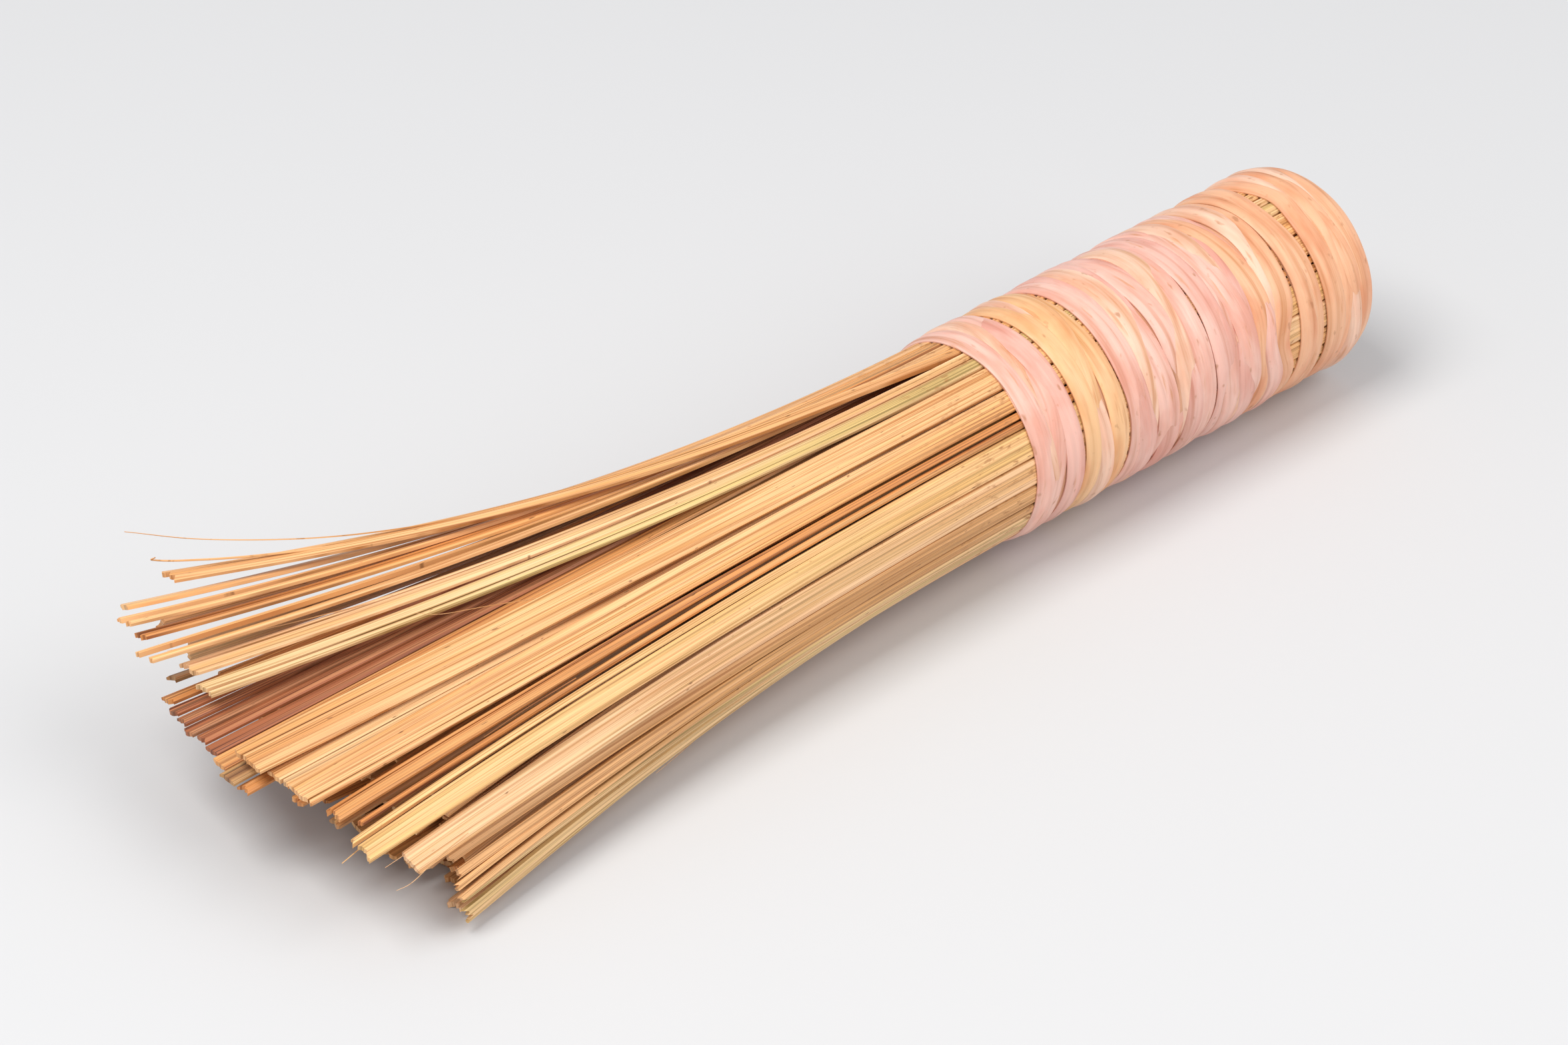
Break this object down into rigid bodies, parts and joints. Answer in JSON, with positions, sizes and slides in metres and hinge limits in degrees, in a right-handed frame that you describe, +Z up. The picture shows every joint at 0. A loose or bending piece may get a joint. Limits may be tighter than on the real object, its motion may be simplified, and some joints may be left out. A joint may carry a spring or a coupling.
{
  "type": "bamboo wok brush",
  "caption": "Brush of split bamboo splints bound at one end into a round handle with flat peel strips; the free splints spread into a flat springy fan for whisking and scrubbing.",
  "frame": {"origin": "on the table, under the middle of the brush's bounding box", "axes": "+X from the fan towards the butt of the handle, +Y to the left of the fan as it lies, +Z up from the table"},
  "size_m": [0.268, 0.0836, 0.0452],
  "materials": {
    "bamboo_splint": "satin, fine straight grain",
    "bamboo_inner": "matt, split surface",
    "bamboo_red": "matt, reddish brown split surface",
    "peel_pink": "satin, smooth peel",
    "peel_yellow": "satin, smooth peel"
  },
  "bodies": {
    "handle": {"binding_1": "peel_pink", "binding_2": "peel_yellow", "binding_3": "peel_pink", "binding_4": "peel_pink", "binding_5": "peel_pink", "binding_6": "peel_pink", "core_stick": "bamboo_inner", "inner_ring_1": "bamboo_inner", "inner_ring_2": "bamboo_inner", "inner_ring_3": "bamboo_inner", "inner_ring_4": "bamboo_inner", "inner_ring_5": "bamboo_inner", "inner_ring_6": "bamboo_inner", "second_ring_top": "bamboo_red", "shank_left": "bamboo_splint", "shank_left_under": "bamboo_splint", "shank_right": "bamboo_splint", "shank_right_under": "bamboo_splint", "shank_top": "bamboo_splint", "shank_under": "bamboo_splint"},
    "sheaf_right": {"tine_right_1": "bamboo_splint", "tine_right_2": "bamboo_splint", "tine_right_3": "bamboo_splint", "tine_right_4": "bamboo_splint", "tine_right_5": "bamboo_splint"},
    "sheaf_top": {"tine_top_1": "bamboo_splint", "tine_top_2": "bamboo_splint", "tine_top_3": "bamboo_splint", "tine_top_4": "bamboo_splint", "tine_top_5": "bamboo_splint", "tine_top_6": "bamboo_splint", "tine_top_7": "bamboo_splint"},
    "sheaf_left": {"tine_left_1": "bamboo_splint", "tine_left_2": "bamboo_splint", "tine_left_3": "bamboo_splint", "tine_left_4": "bamboo_splint", "tine_left_5": "bamboo_splint", "tine_left_6": "bamboo_splint"},
    "sheaf_left_under": {"tine_left_under_1": "bamboo_splint", "tine_left_under_2": "bamboo_splint", "tine_left_under_3": "bamboo_splint", "tine_left_under_4": "bamboo_splint"},
    "sheaf_under": {"tine_under_1": "bamboo_splint", "tine_under_2": "bamboo_splint", "tine_under_3": "bamboo_splint", "tine_under_4": "bamboo_splint"},
    "sheaf_right_under": {"tine_right_under_1": "bamboo_splint", "tine_right_under_2": "bamboo_splint", "tine_right_under_3": "bamboo_splint", "tine_right_under_4": "bamboo_splint"}
  },
  "joints": [
    {"name": "flex_right", "type": "hinge", "parent": "handle", "child": "sheaf_right", "pos_m": [0.011, -0.03395, 0.01726], "axis": [0, 0.0872, 0.9962], "range_deg": [0, 8], "stiffness_Nm_per_rad": 0.823},
    {"name": "flex_top", "type": "hinge", "parent": "handle", "child": "sheaf_top", "pos_m": [0.011, -0.02475, 0.03919], "axis": [0, 0.866, 0.5], "range_deg": [0, 8], "stiffness_Nm_per_rad": 1.157},
    {"name": "flex_left", "type": "hinge", "parent": "handle", "child": "sheaf_left", "pos_m": [0.011, -0.00451, 0.04403], "axis": [0, 0.9511, -0.309], "range_deg": [0, 8], "stiffness_Nm_per_rad": 0.572},
    {"name": "flex_left_under", "type": "hinge", "parent": "handle", "child": "sheaf_left_under", "pos_m": [0.011, 0.0091, 0.02856], "axis": [0, 0.2588, -0.9659], "range_deg": [0, 8], "stiffness_Nm_per_rad": 0.711},
    {"name": "flex_under", "type": "hinge", "parent": "handle", "child": "sheaf_under", "pos_m": [0.011, 0.00404, 0.00815], "axis": [0, -0.6691, -0.7431], "range_deg": [0, 8], "stiffness_Nm_per_rad": 0.758},
    {"name": "flex_right_under", "type": "hinge", "parent": "handle", "child": "sheaf_right_under", "pos_m": [0.011, -0.01604, 0.00153], "axis": [0, -0.9848, 0.1736], "range_deg": [0, 8], "stiffness_Nm_per_rad": 0.765}
  ]
}
